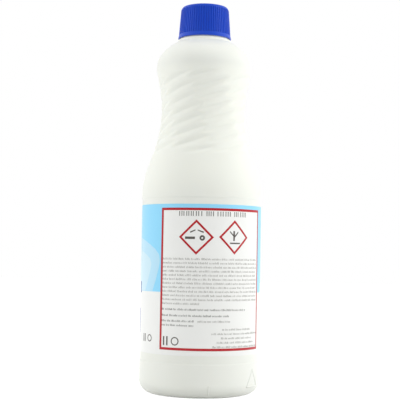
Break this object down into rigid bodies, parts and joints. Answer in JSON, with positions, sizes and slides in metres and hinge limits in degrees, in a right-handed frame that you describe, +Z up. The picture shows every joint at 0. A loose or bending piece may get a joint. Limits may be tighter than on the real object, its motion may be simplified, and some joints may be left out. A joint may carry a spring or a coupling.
{
  "type": "bleach bottle",
  "caption": "Slim round one-litre bleach bottle in white plastic with a waisted, ribbed grip, a wraparound label and a blue ribbed push-and-turn screw cap.",
  "frame": {"origin": "centre of the standing ring, at the base", "axes": "+Z up along the bottle's axis to the cap; -Y is the side whose label panel faces the viewer"},
  "size_m": [0.083, 0.083, 0.268],
  "materials": {
    "white_hdpe": "satin",
    "label_film": "satin",
    "foam_wad": "matt",
    "white_pp": "satin",
    "blue_pp": "gloss"
  },
  "bodies": {
    "bottle_body": {"bottle": "white_hdpe", "label": "label_film"},
    "wad_carrier": {"wad": "foam_wad"},
    "inner_closure": {"inner_cap": "white_pp"},
    "outer_shell": {"outer_cap": "blue_pp"}
  },
  "joints": [
    {"name": "cap_rise", "type": "slide", "parent": "bottle_body", "child": "wad_carrier", "axis": [0, 0, 1], "range_m": [0, 0.00636]},
    {"name": "cap_turn", "type": "hinge", "parent": "wad_carrier", "child": "inner_closure", "pos_m": [0, 0, 0.2625], "axis": [0, 0, 1], "range_deg": [0, 540]},
    {"name": "cap_press", "type": "slide", "parent": "inner_closure", "child": "outer_shell", "axis": [0, 0, -1], "range_m": [0, 0.0007], "stiffness_N_per_m": 8000}
  ],
  "couplings": [
    {"joint": "cap_rise", "follows": "cap_turn", "m_per_rad": 0.00067376}
  ]
}
